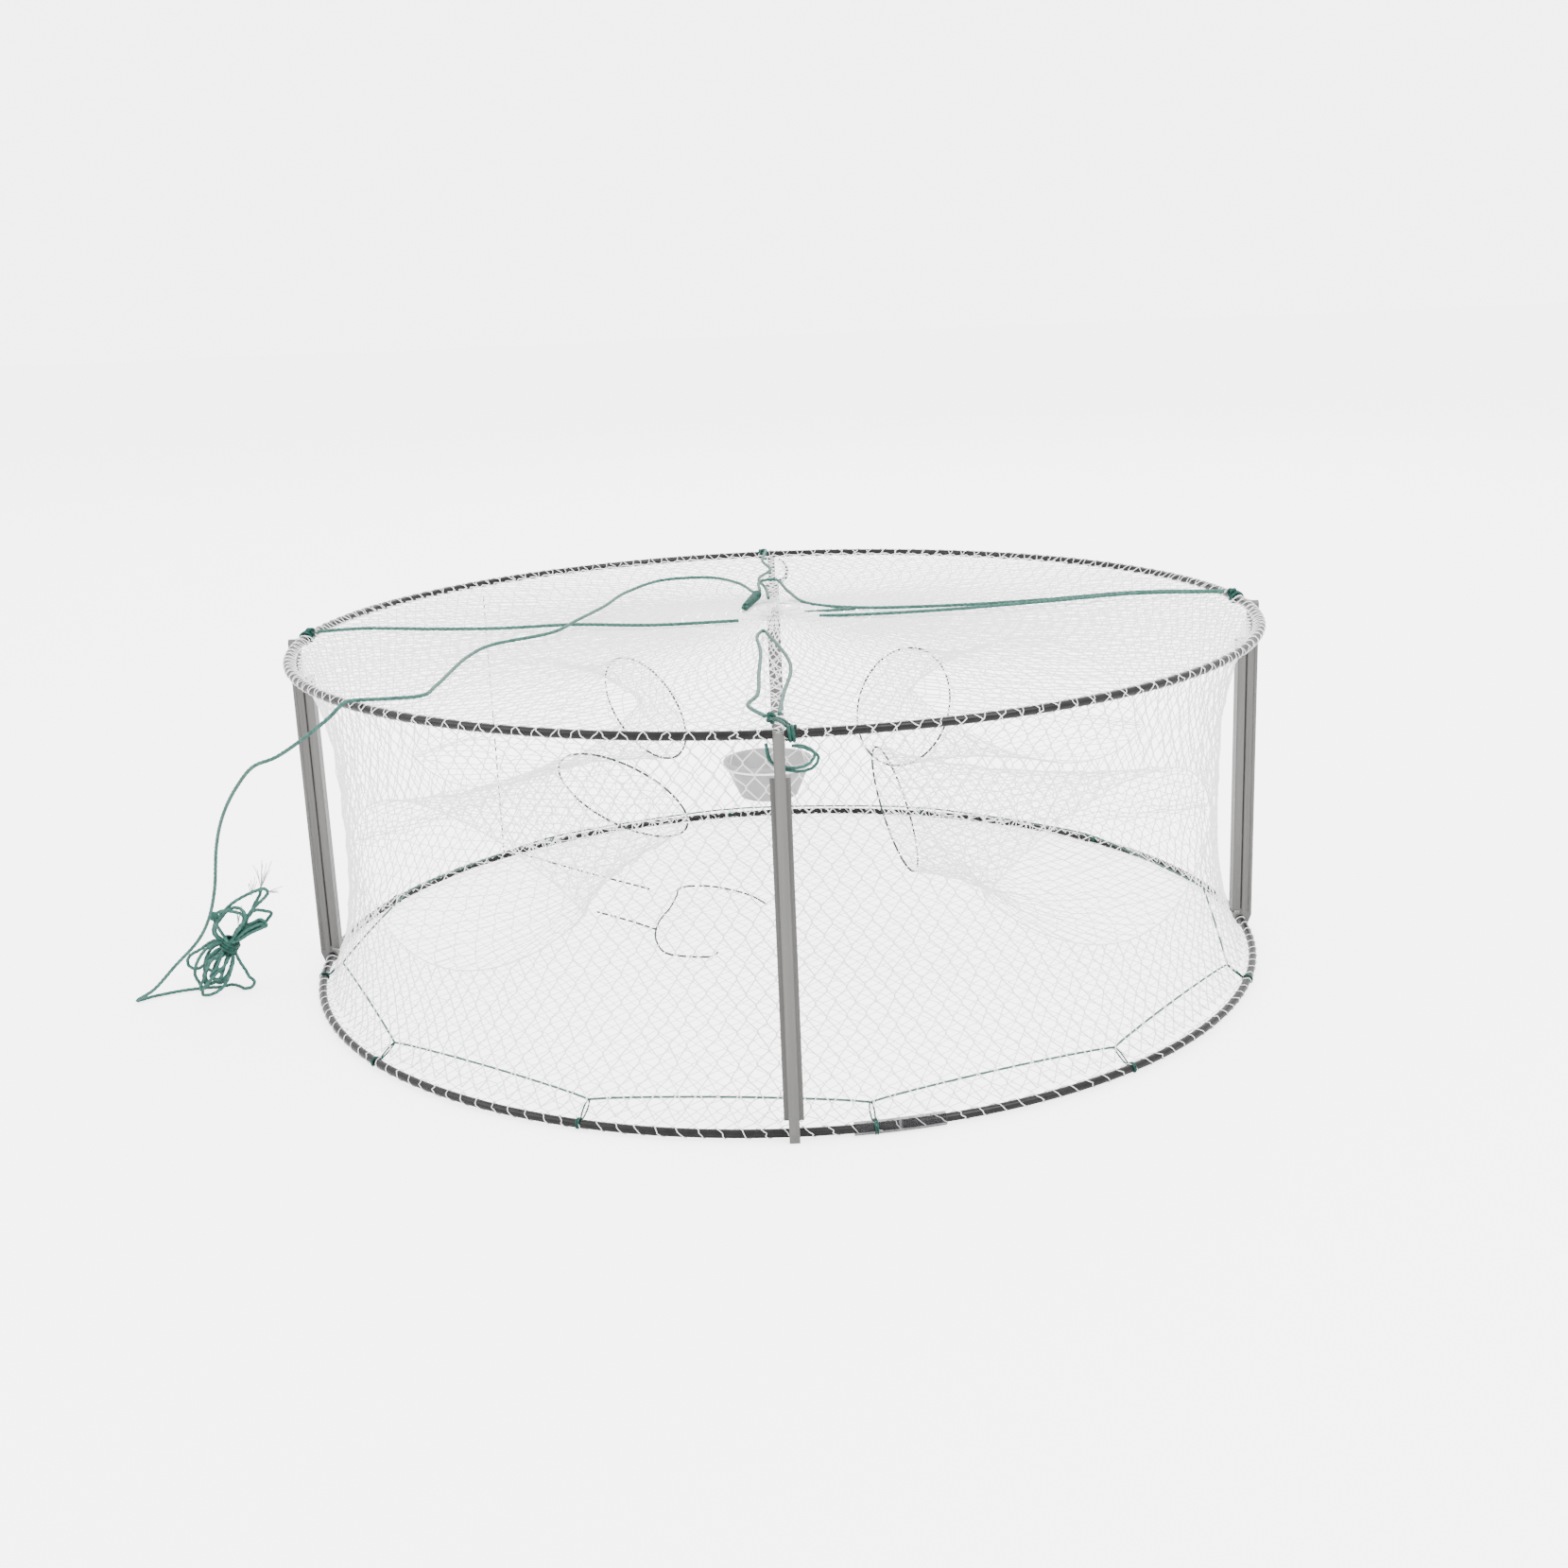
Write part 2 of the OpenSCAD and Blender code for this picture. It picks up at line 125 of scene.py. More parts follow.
def mottle(mat, bsdf, dark, light, scale, stretch=(1, 1, 1), bump=0.0, edge=0.0):
    """Colour that drifts between dark and light with noise in object space, with a little relief.

    With edge the shading rounds off sharp edges over that distance.
    """
    nodes, links = mat.node_tree.nodes, mat.node_tree.links
    place = nodes.new("ShaderNodeTexCoord")
    mapping = nodes.new("ShaderNodeMapping")
    mapping.inputs["Scale"].default_value = stretch
    noise = nodes.new("ShaderNodeTexNoise")
    noise.inputs["Scale"].default_value = scale
    noise.inputs["Detail"].default_value = 3
    ramp = nodes.new("ShaderNodeValToRGB")
    ramp.color_ramp.elements[0].position, ramp.color_ramp.elements[1].position = 0.35, 0.65
    ramp.color_ramp.elements[0].color = (*dark, 1)
    ramp.color_ramp.elements[1].color = (*light, 1)
    links.new(place.outputs["Object"], mapping.inputs["Vector"])
    links.new(mapping.outputs["Vector"], noise.inputs["Vector"])
    links.new(noise.outputs["Fac"], ramp.inputs["Fac"])
    links.new(ramp.outputs["Color"], bsdf.inputs["Base Color"])
    if bump:
        relief = nodes.new("ShaderNodeBump")
        relief.inputs["Strength"].default_value = bump
        relief.inputs["Distance"].default_value = 0.0002
        links.new(noise.outputs["Fac"], relief.inputs["Height"])
        links.new(relief.outputs["Normal"], bsdf.inputs["Normal"])
        if edge:
            bevel = nodes.new("ShaderNodeBevel")
            bevel.samples = 6
            bevel.inputs["Radius"].default_value = edge
            links.new(bevel.outputs["Normal"], relief.inputs["Normal"])
    return mat


def seen_only(nodes, links, strength):
    """A value that is strength for what the camera sees and nothing for the light it casts."""
    path = nodes.new("ShaderNodeLightPath")
    times = nodes.new("ShaderNodeMath")
    times.operation = "MULTIPLY"
    times.inputs[1].default_value = strength
    links.new(path.outputs["Is Camera Ray"], times.inputs[0])
    return times.outputs["Value"]


rod_mat = mottle(*shader("rod_black", (0.006, 0.006, 0.006), 0.3, Specular_IOR_Level=0.22),
                 (0.004, 0.004, 0.004), (0.009, 0.009, 0.009), 400, bump=0.05)
bar_mat = mottle(*shader("bar_grey", (0.085, 0.083, 0.08), 0.4, Specular_IOR_Level=0.6),
                 (0.075, 0.0735, 0.0705), (0.1, 0.098, 0.094), 500, (1, 1, 0.04), 0.08, 0.7 * MM)
net_mat = mottle(*shader("net_white", (0.95, 0.95, 0.95), 0.6),
                 (0.92, 0.92, 0.92), (0.98, 0.98, 0.98), 900)
thread_mat = mottle(*shader("thread_dark", (0.025, 0.032, 0.03), 0.7, Specular_IOR_Level=0.2),
                    (0.015, 0.021, 0.019), (0.05, 0.06, 0.057), 900)
mouth_mat = mottle(*shader("mouth_grey_green", (0.04, 0.055, 0.05), 0.7, Specular_IOR_Level=0.2),
                   (0.02, 0.03, 0.027), (0.085, 0.105, 0.098), 900)
green_mat = mottle(*shader("twine_green", (0.022, 0.085, 0.068), 0.5, Specular_IOR_Level=0.25),
                   (0.014, 0.062, 0.049), (0.036, 0.12, 0.098), 700, bump=0.2)
# The pull line's green twine, darkened: painted shade on the twine where it is knotted, wound and tied, and
# on the back hanging loop
twine_shade_mat = mottle(*shader("twine_green_painted_shade", (0.006, 0.045, 0.034), 0.5, Specular_IOR_Level=0.2),
                  (0.003, 0.028, 0.021), (0.013, 0.07, 0.054), 700, bump=0.2)
lacing_mat = mottle(*shader("lacing_green", (0.06, 0.115, 0.1), 0.6, Specular_IOR_Level=0.2),
                    (0.04, 0.085, 0.073), (0.085, 0.15, 0.13), 900)
fray_mat = mottle(*shader("fray_pale", (0.3, 0.34, 0.33), 0.6), (0.2, 0.27, 0.25),
                  (0.42, 0.42, 0.41), 900)
sleeve_mat = mottle(*shader("sleeve_clear", (0.42, 0.42, 0.43), 0.04, Transmission_Weight=0.96, IOR=1.03),
                    (0.38, 0.38, 0.39), (0.46, 0.46, 0.47), 300)
cup_mat = mottle(*shader("cup_cloudy", (0.42, 0.42, 0.42), 0.38, Transmission_Weight=0.3, IOR=1.3),
                 (0.38, 0.38, 0.38), (0.45, 0.45, 0.446), 120)
floor_shader = shader("floor_pale", (0.9, 0.9, 0.9), 0.7)
floor_mat = mottle(*floor_shader, (0.89, 0.89, 0.89), (0.91, 0.91, 0.91), 2)
floor_shader[1].inputs["Emission Color"].default_value = (1, 1, 1, 1)
floor_mat.node_tree.links.new(seen_only(floor_mat.node_tree.nodes, floor_mat.node_tree.links, 3.0),
                              floor_shader[1].inputs["Emission Strength"])


# ---------------------------------------------------------------- mesh helpers
def piece(name, verts, faces, mat, slot, smooth=True):
    mesh = bpy.data.meshes.new(name)
    mesh.from_pydata([tuple(v) for v in np.asarray(verts, float).tolist()], [], faces)
    if smooth:
        mesh.polygons.foreach_set("use_smooth", [True] * len(mesh.polygons))
    mesh.materials.append(mat)
    mesh.update()
    obj = bpy.data.objects.new(name, mesh)
    bpy.context.scene.collection.objects.link(obj)
    return obj


class Heap:
    """Vertices and faces of one piece, added part by part."""

    def __init__(self):
        self.verts, self.faces, self.count = [], [], 0

    def add(self, verts, faces):
        if isinstance(faces, list):
            self.faces += [[k + self.count for k in face] for face in faces]
        else:
            self.faces += (faces + self.count).tolist()
        self.verts.append(np.asarray(verts, float))
        self.count += len(verts)

    def make(self, name, mat, slot, smooth=True):
        return piece(name, np.concatenate(self.verts), self.faces, mat, slot, smooth)


def unit(v):
    return v / np.maximum(np.linalg.norm(v, axis=-1, keepdims=True), 1e-12)


def across(t):
    """Two directions square to each row of t."""
    ref = np.where(np.abs(t[:, 2:3]) < 0.8, [[0.0, 0.0, 1.0]], [[1.0, 0.0, 0.0]])
    u = unit(np.cross(ref, t))
    return u, np.cross(t, u)


def struts(a, b, radius, sides=4):
    """Open prisms from each point of a to the same point of b."""
    a, b = np.asarray(a, float), np.asarray(b, float)
    n = len(a)
    u, v = across(unit(b - a))
    ang = TAU * np.arange(sides) / sides
    ring = (np.cos(ang)[None, :, None] * u[:, None] + np.sin(ang)[None, :, None] * v[:, None])
    ring = ring * np.asarray(radius, float).reshape(-1, 1, 1)
    verts = np.concatenate([a[:, None] + ring, b[:, None] + ring], 1).reshape(-1, 3)
    base = (np.arange(n) * 2 * sides)[:, None]
    k = np.arange(sides)[None]
    k1 = (k + 1) % sides
    quads = np.stack([base + k, base + k1, base + k1 + sides, base + k + sides], -1)
    return verts, quads.reshape(-1, 4)


def beads(at, along, half, radius):
    """Small eight-sided knots: each a double cone on the direction along."""
    at, along = np.asarray(at, float), unit(np.asarray(along, float))
    u, v = across(along)
    r = np.asarray(radius, float).reshape(-1, 1)
    tip = along * half
    verts = np.stack([at - tip, at + u * r, at + v * r, at - u * r, at - v * r, at + tip], 1)
    base = (np.arange(len(at)) * 6)[:, None, None]
    tri = np.array([[0, 2, 1], [0, 3, 2], [0, 4, 3], [0, 1, 4], [5, 1, 2], [5, 2, 3], [5, 3, 4], [5, 4, 1]])
    return verts.reshape(-1, 3), (base + tri[None]).reshape(-1, 3)


def smooth_path(points, step, closed=False):
    """Points about a step apart on a Catmull-Rom curve through the given ones."""
    p = np.asarray(points, float)
    n = len(p)
    spans = n if closed else n - 1
    out = []
    for i in range(spans):
        if closed:
            p0, p1, p2, p3 = p[(i - 1) % n], p[i], p[(i + 1) % n], p[(i + 2) % n]
        else:
            p1, p2 = p[i], p[i + 1]
            p0 = p[i - 1] if i else 2 * p1 - p2
            p3 = p[i + 2] if i + 2 < n else 2 * p2 - p1
        t0, t1 = 0.0, np.linalg.norm(p1 - p0) ** 0.5
        t2 = t1 + np.linalg.norm(p2 - p1) ** 0.5
        t3 = t2 + np.linalg.norm(p3 - p2) ** 0.5
        m = max(2, int(np.linalg.norm(p2 - p1) / step + 0.5))
        t = np.linspace(t1, t2, m, endpoint=False)[:, None]
        a1 = (t1 - t) / (t1 - t0) * p0 + (t - t0) / (t1 - t0) * p1
        a2 = (t2 - t) / (t2 - t1) * p1 + (t - t1) / (t2 - t1) * p2
        a3 = (t3 - t) / (t3 - t2) * p2 + (t - t2) / (t3 - t2) * p3
        b1 = (t2 - t) / (t2 - t0) * a1 + (t - t0) / (t2 - t0) * a2
        b2 = (t3 - t) / (t3 - t1) * a2 + (t - t1) / (t3 - t1) * a3
        out.append((t2 - t) / (t2 - t1) * b1 + (t - t1) / (t2 - t1) * b2)
    if not closed:
        out.append(p[-1:])
    return np.concatenate(out)


def rope(path, d, sides=8, closed=False, lobes=0, pitch=4 * MM, cap=True):
    """A tube along a path; with lobes it is twisted from that many strands."""
    path = np.asarray(path, float)
    n = len(path)
    if closed:
        t = unit(np.roll(path, -1, 0) - np.roll(path, 1, 0))
    else:
        t = unit(np.gradient(path, axis=0))
    u = np.zeros_like(path)
    u[0] = across(t[:1])[0][0]
    for i in range(1, n):
        w = u[i - 1] - t[i] * np.dot(u[i - 1], t[i])
        u[i] = w / max(np.linalg.norm(w), 1e-9)
    v = np.cross(t, u)
    run = np.concatenate([[0], np.cumsum(np.linalg.norm(np.diff(path, axis=0), axis=1))])
    ang = (TAU * np.arange(sides) / sides)[None]
    radius = np.full((n, sides), d / 2)
    if lobes:
        twist = TAU * run[:, None] / pitch / lobes * 2
        radius = d / 2 * (0.8 + 0.24 * np.abs(np.cos(lobes / 2 * (ang - twist))))
    ring = (np.cos(ang)[..., None] * u[:, None] + np.sin(ang)[..., None] * v[:, None]) * radius[..., None]
    verts = (path[:, None] + ring).reshape(-1, 3)
    last = n if closed else n - 1
    i = np.arange(last)[:, None]
    k = np.arange(sides)[None]
    j = (i + 1) % n
    k1 = (k + 1) % sides
    quads = np.stack([i * sides + k, i * sides + k1, j * sides + k1, j * sides + k], -1).reshape(-1, 4)
    faces = quads.tolist()
    if cap and not closed:
        faces.append(list(range(sides))[::-1])
        faces.append(list(range((n - 1) * sides, n * sides)))
    return verts, faces


def direction(deg):
    return np.array([math.cos(math.radians(deg)), math.sin(math.radians(deg)), 0.0])


def sideways(deg):
    return np.array([-math.sin(math.radians(deg)), math.cos(math.radians(deg)), 0.0])


# ---------------------------------------------------------------- cords
PULL_TOP = [(-6.8, 53.4, 116.8), (-13, 76, 117), (-25, 95, 116.6), (-42, 95, 116.3), (-55, 72, 115.8),
            (-61, 42, 115.9), (-68, 14, 116.3), (-75, -5, 115.7), (-93, -22, 115.5),
            (-98, -40, 115.6), (-101, -86, 116), (-103, -101, 116.2), (-112, -105, 116.6),
            (-122, -110, 117.4)]
PULL_DROP = [(-123.5, -111.5, 117), (-128, -112, 113), (-147, -100, 99.5), (-155, -96, 96),
             (-163, -88, 88), (-171, -78, 77), (-179, -63, 62), (-184, -54, 45), (-189, -48, 33),
             (-195, -43, 24), (-205, -39, 14), (-214, -36.5, 5), (-220.4, -35, 0.9),
             (-216, -31, 0.7), (-207, -26.5, 0.7), (-198, -24.6, 0.7)]
LEFT_BRIDLE = [(-157, 8, 117), (-143, 14, 116.4), (-120, 11, 115.8), (-96, 10, 115.2),
               (-70, 14, 114.7), (-42, 9, 114.3), (-12, 8, 114.8)]
RIGHT_BRIDLE = [(157, 14.2, 117.2), (128, 24, 116.3), (94, 22, 115.3), (61, 21, 114.8),
                (29, 27, 114.4), (13, 37, 114.8), (6, 60, 115.6), (1, 80, 117.1),
                (-4, 77, 117.3), (-4.6, 54, 117.1)]
RIGHT_TAIL = [(156.4, 12.2, 117.2), (128, 21.4, 116.3), (98, 18.5, 115.4), (60, 13, 114.8),
              (34, 12, 114.5), (16, 14, 114.3)]
SHORT_TAIL = [(29, 25.4, 114.4), (20, 23, 114.4), (11, 22, 114.3)]
BACK_BRIDLE = [(-2, 158, 117.2), (-3.5, 134, 116.3), (-0.5, 112, 116), (-5, 92, 115.8),
               (-2.5, 70, 115.6), (-1.5, 44, 116.2)]
FRONT_SLACK = [(-3.4, -148.6, 117), (-8, -132, 116.4), (-5.5, -118, 116), (-5, -86, 115.6),
               (-4.5, -50, 115.2), (-5.5, -22, 115), (-3.5, -14, 115), (-1.5, -24, 115),
               (4, -64, 115.2), (4.5, -84, 115.4), (2, -117, 116), (0.5, -146.6, 117)]
FRONT_DROP = [(3.4, -161, 111.7), (6.6, -160.6, 111.3), (9.3, -160.3, 109.2), (8, -160.2, 106.6),
              (4, -160.2, 105.4), (-2.4, -160.3, 107.6), (-3.4, -160.6, 112.4)]
BACK_DROP = [(0.8, 158.4, 113), (-0.4, 157.8, 110), (0.2, 157.4, 106.6), (2.6, 157.3, 104.5),
             (5.2, 157.4, 105.7), (6.2, 157.6, 109), (5, 158.2, 112), (3.2, 158.6, 113.2)]
TWINE = 1.2 * MM

# The bundle stands on the ground, tied at its middle. Its loops are (distance behind the foot,
# [(right of the foot, height), ...]), all in millimetres.
HANK_FOOT = np.array([-190.0, -29.0, 0.0])
HANK_TIE = (1.2, 17.2)
HANK_START = [(-194.9, -24.5, 0.7), (-191.5, -22.6, 0.7), (-188.4, -24.6, 0.7), (-185.8, -27, 0.7),
              (-183.7, -26.2, 1), (-182.9, -25.6, 2.6), (-184.2, -26.6, 4.8), (-184.9, -27.5, 7.5),
              (-186.2, -28.2, 10.7), (-187.1, -28.6, 13.7)]
HANK_LOOPS = [
    (-3.0, [(-2.6, 18.8), (-5.7, 17.5), (-8.5, 14.5), (-10.3, 11.1), (-10.8, 8), (-9.7, 5.2), (-8.9, 3.1),
            (-9, 1), (-7.9, 0.7), (-5.6, 1.1), (-2.6, 2.8), (-0.3, 5.6), (1.4, 9.2), (2.4, 13.1)]),
    (-1.0, [(-2.2, 19.7), (-3.5, 22.3), (-3, 24.8), (-1.2, 27.6), (1, 29.9), (4.1, 32.5), (8.4, 34.9),
            (12.7, 36.6), (15.6, 37), (16.3, 35.7), (14.6, 33.6), (12.1, 31.5), (9.4, 28.7), (5, 22.7)]),
    (1.5, [(-2.4, 17.6), (-5.6, 15.8), (-7.9, 12.4), (-8.8, 8.5), (-8.7, 5), (-7.7, 3.6), (-4.7, 3.9),
           (-2.1, 5.3), (-0.2, 8.1), (1.1, 11.6), (1.8, 14.3)]),
    (-2.2, [(-0.9, 19.8), (-2.4, 22.2), (-2.2, 24.8), (-0.1, 27.6), (2.4, 30.2), (5.1, 31.3),
            (7.2, 30.5), (8.3, 28.2), (7.2, 25.5), (5.2, 23.1)]),
    (-1.6, [(-2.9, 16.2), (-6.6, 12.7), (-7.3, 10), (-8.5, 6.6), (-8, 4.2), (-5.4, 4.5), (-2.8, 6.3),
            (-1.5, 9), (-0.5, 12), (0.6, 14.7)]),
    (1.6, [(3.9, 21.2), (6.8, 24.2), (8.3, 27.2), (10.7, 28.8), (13.6, 28.5), (16.1, 27.6), (15.1, 26.1),
           (13.7, 24.7), (11.3, 24.8), (7.9, 23.5), (5, 21.5)]),
    (-3.6, [(-0.6, 14.4), (-4, 13.6), (-6.1, 12.5), (-6.1, 10.5), (-4.4, 9.6), (-2.5, 10.2), (-1.6, 8.2),
            (-2.9, 6.5), (-5.4, 7.6), (-3.2, 10.6)]),
    (-0.6, [(4.2, 20.4), (7.1, 23), (10.2, 25), (12.7, 26.2), (14.3, 24.7), (14.4, 23.8), (11.5, 23.1),
            (8.4, 22.2), (5.2, 20)]),
    (2.2, [(-3.8, 18.6), (-6.4, 17.6), (-10, 15.2), (-13.2, 13.5), (-14.4, 11.7), (-14.2, 9.7), (-12.6, 8.6),
           (-10.8, 8.7), (-8.6, 10.1), (-5.9, 12.3), (-2.7, 15.3)]),
    (0.8, [(3.9, 20.8), (6.7, 23.4), (9.8, 24.7), (12.5, 25.5), (13.7, 24.6), (13, 23.7), (10, 23.3),
           (6.9, 21.5)]),
    (-4.4, [(-1.6, 15.2), (-4.4, 13.4), (-6.2, 10.3), (-7.2, 7.7), (-9, 4.6), (-9, 3.1), (-6.7, 5.3),
            (-3.4, 8.7), (-0.1, 11.6)]),
    (-2.0, [(4.3, 20), (7.4, 22.6), (10.5, 24.2), (13.2, 25), (14, 24.1), (11.1, 22.8), (8.4, 21.6),
            (5.6, 19.8)]),
    (3.2, [(-1.2, 14.6), (-4.4, 11.2), (-6.4, 7.4), (-6.8, 4.4), (-5, 2.6), (-2.6, 3.6), (-0.8, 7),
           (0.8, 11)]),
]
# Out in front of the bundle to the knot near the line's end, and back: (right, behind, height)
HANK_TAIL = [(0.4, -2.6, 21.3), (0, -4.6, 24), (-0.6, -6.2, 27), (-1, -6.7, 30), (1.2, -6, 31.4),
             (4, -4, 30.6), (7.3, -2, 28.4), (6.2, -0.6, 24)]
HANK_END = [(2.8, 3, 20.9), (6.1, 3.6, 24.6), (8.6, 3.6, 27.2), (10.1, 3.4, 30.3), (12.3, 3.4, 33.7),
            (13, 3.4, 36.2)]


def hank_path():
    """The bundle's route in millimetres: in from the ground, round every loop by way of the tie."""
    hub = np.array([HANK_TIE[0], 0.0, HANK_TIE[1]])
    out = [np.array(p) for p in HANK_START]
    for k, (behind, loop) in enumerate(HANK_LOOPS):
        turn = 2.4 * k
        spread = 0.9 + 0.1 * k
        pass_by = np.array([0.7 * math.cos(turn), math.sin(turn), math.cos(turn + 1)])
        out.append(HANK_FOOT + hub + spread * pass_by)
        for right, height in loop:
            reach = min(1.0, math.hypot(right - hub[0], height - hub[2]) / 7)
            out.append(HANK_FOOT + (right, behind * reach, height))
    out.append(HANK_FOOT + hub + (0.5, -1.8, 0.6))
    out += [HANK_FOOT + p for p in HANK_TAIL]
    out.append(HANK_FOOT + hub + (0, 1.8, 0))
    return out + [HANK_FOOT + p for p in HANK_END]


def coil(middle, axis, radius, pitch, turns, start=0.0):
    """Points of a helix of that many turns about an axis through middle."""
    axis = unit(np.asarray(axis, float))
    u, v = (w[0] for w in across(axis[None]))
    t = (np.linspace(-0.5, 0.5, int(turns * 18) + 1) * turns)[:, None]
    turned_by = TAU * t + start
    return np.asarray(middle) + axis * pitch * t + radius * (np.cos(turned_by) * u + np.sin(turned_by) * v)


def overhand(middle, axis, size):
    """Points of a closed trefoil, which reads as a knot pulled tight."""
    u, v = (w[0] for w in across(unit(np.asarray(axis, float))[None]))
    t = TAU * np.arange(60)[:, None] / 60
    r = (2 + np.cos(3 * t)) / 3
    return np.asarray(middle) + size * (r * np.cos(2 * t) * u + r * np.sin(2 * t) * v
                                        + 0.5 * np.sin(3 * t) * unit(np.asarray(axis, float)))


def doubled(points, d, aside):
    """Two strands that follow the same points, the second moved by aside."""
    heap = Heap()
    for shift in (np.zeros(3), np.asarray(aside, float)):
        fade = np.sin(np.linspace(0, math.pi, len(points)))[:, None] ** 0.5
        path = smooth_path((np.array(points) + shift * fade) * MM, 0.4 * MM)
        heap.add(*rope(path, d, 10, lobes=3, pitch=4 * MM))
    return heap


def cord_piece(name, points, d, exit_at, far_end, lay, mat, body, nodes, lobes=3, **more):
    path = smooth_path(np.array(points) * MM, 0.5 * d)
    obj = piece(name, *rope(path, d, 10, lobes=lobes, pitch=3.4 * d), mat, "green_twine")
    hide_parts(*nodes)
    if body:
        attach(obj, body)
    return obj


def fibres(heap, root, aim, count, length, spread):
    """Loose fibres of a frayed end, fanning out from root, added to heap."""
    aim = unit(np.asarray(aim, float))
    for _ in range(count):
        lean = unit(aim + rng.normal(0, spread, 3))
        bend = rng.normal(0, 0.35 * spread, 3)
        reach = length * rng.uniform(0.5, 1)
        t = np.linspace(0, 1, 9)[:, None]
        path = np.asarray(root) + lean * reach * t + bend * reach * t**2
        heap.add(*rope(path, 0.24 * MM, 5))


frayed = Heap()
for root, aim, count, reach in (
        ((12.9, 3.4, 36), (0.25, 0, 1), 12, 9.5),
        ((9.4, 3.4, 33.5), (0.2, 0, 1), 6, 8),
        ((15.8, -1, 35.8), (1, 0, 0.1), 7, 5.5),
        ((4.5, 1, 24), (0.2, 0, 1), 6, 7)):
    fibres(frayed, (HANK_FOOT + root) * MM, aim, count, reach * MM, 0.2)
fray = frayed.make("pull_line_fray", fray_mat, "green_twine")
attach(fray, "bottom_frame")
pull_line = cord_piece(
    "pull_line", PULL_TOP + PULL_DROP + hank_path(), TWINE, (-0.0068, 0.0534, 0.1168), "bare", "loose",
    green_mat, None, ["pull_line_top", "pull_line_drop", "pull_line_hank"],
    with_pieces=[fray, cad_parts["hank_knot"]])
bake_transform(pull_line)

for name, points, node, far_end in (
        ("left_bridle", LEFT_BRIDLE, "bridle_left", "object"),
        ("right_bridle", RIGHT_BRIDLE, "bridle_right", "object"),
        ("right_bridle_tail", RIGHT_TAIL, "bridle_right_tail", "bare"),
        ("back_bridle", BACK_BRIDLE, "bridle_back", "object"),
        ("front_slack_loop", FRONT_SLACK, "front_loop", "object")):
    cord_piece(name, points, TWINE, tuple(round(c * MM, 5) for c in points[0]), far_end, "loose", green_mat,
               "top_frame", [node])

for heap, name, mat, body in (
        (doubled(FRONT_DROP, 0.85 * MM, (1.0, 0.3, -1.1)), "front_hanging_loop", green_mat, "top_frame"),
        (doubled(BACK_DROP, 0.9 * MM, (0.6, -0.3, -0.7)), "back_hanging_loop", twine_shade_mat, "top_frame")):
    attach(heap.make(name, mat, "green_twine"), body)
short_path = smooth_path(np.array(SHORT_TAIL) * MM, 0.6 * MM)
short = piece("short_bridle_tail", *rope(short_path, TWINE, 10, lobes=3), green_mat, "green_twine")
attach(short, "top_frame")


# ---------------------------------------------------------------- knots and wraps of the twine
def rim_knot(node, deg, turns, knot_at, knot_axis, lead=()):
    """Twine wound round the top hoop's rod at an angle, with a knot and a doubled strand to it."""
    heap = Heap()
    middle = HOOP_R * direction(deg) + np.array([0, 0, Z_TOP])
    heap.add(*rope(coil(middle, sideways(deg), ROD_R + 0.55 * TWINE, 0.95 * MM, turns), 1.1 * MM, 10,
                   lobes=3, pitch=4 * MM))
    heap.add(*rope(overhand(np.array(knot_at) * MM, knot_axis, 1.35 * MM), 1.1 * MM, 8, closed=True))
    if lead:
        for shift in (-0.45, 0.45):
            line = (np.array(lead) + (shift, shift, 0)) * MM
            heap.add(*rope(smooth_path(line, 0.4 * MM), 1.0 * MM, 8, lobes=3, pitch=4 * MM))
    obj = heap.make(node + "_twine", twine_shade_mat, "green_twine")
    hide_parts(node)
    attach(obj, "top_frame")


rim_knot("rim_knot_left", 177, 4.2, (-159.6, 8.4, 116.9), (0, 1, 0.4))
rim_knot("rim_knot_right", 4.5, 4.2, (159.3, 12.5, 116.9), (0, 1, 0.4))
rim_knot("rim_knot_front", -88.8, 2.4, (-1.7, -150.6, 116.9), (1, 0.4, 0),
         [(2.6, -160.6, 117.0), (1.4, -157.4, 117.4), (-0.4, -153.6, 117.3), (-1.7, -150.8, 116.9)])
rim_knot("rim_knot_back", 91.2, 3.2, (-2.6, 159.4, 116.2), (1, 0.2, 0.3))

centre = Heap()
KNOT_ENDS = np.array([(-10, 26, 116.2), (-5.5, 50, 116.6)]) * MM
knot_axis = KNOT_ENDS[1] - KNOT_ENDS[0]
turns = 17
wedge = coil(KNOT_ENDS.mean(0), knot_axis, 1.0, 0.93 * np.linalg.norm(knot_axis) / turns, turns)
middle_line = KNOT_ENDS.mean(0) + np.outer((wedge - KNOT_ENDS.mean(0)) @ unit(knot_axis), unit(knot_axis))
taper = (0.75 + 0.5 * np.linspace(0, 1, len(wedge))[:, None]) * MM
centre.add(*rope(middle_line + unit(wedge - middle_line) * taper, TWINE, 8))
for shift in (-0.5, 0.5):
    core = np.linspace(KNOT_ENDS[0] - unit(knot_axis) * MM, KNOT_ENDS[1] + unit(knot_axis) * MM, 20)
    centre.add(*rope(core + np.array([shift, 0, 0]) * MM, TWINE, 8))
centre_wraps = centre.make("centre_knot_wraps", twine_shade_mat, "green_twine")
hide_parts("centre_knot")
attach(centre_wraps, "top_frame")

tie = Heap()
hub = (HANK_FOOT + (HANK_TIE[0], 0, HANK_TIE[1])) * MM
tie.add(*rope(coil(hub, (0.55, 0, 0.8), 2.7 * MM, 1.1 * MM, 3.6), TWINE, 8, lobes=3, pitch=4 * MM))
tie.add(*rope(coil(hub - (0.4 * MM, 0, 0.6 * MM), (0.2, 0.3, 1), 2.3 * MM, 1.0 * MM, 2.5, 1.0), TWINE, 8))
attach(tie.make("hank_tie_wraps", twine_shade_mat, "green_twine"), "bottom_frame")


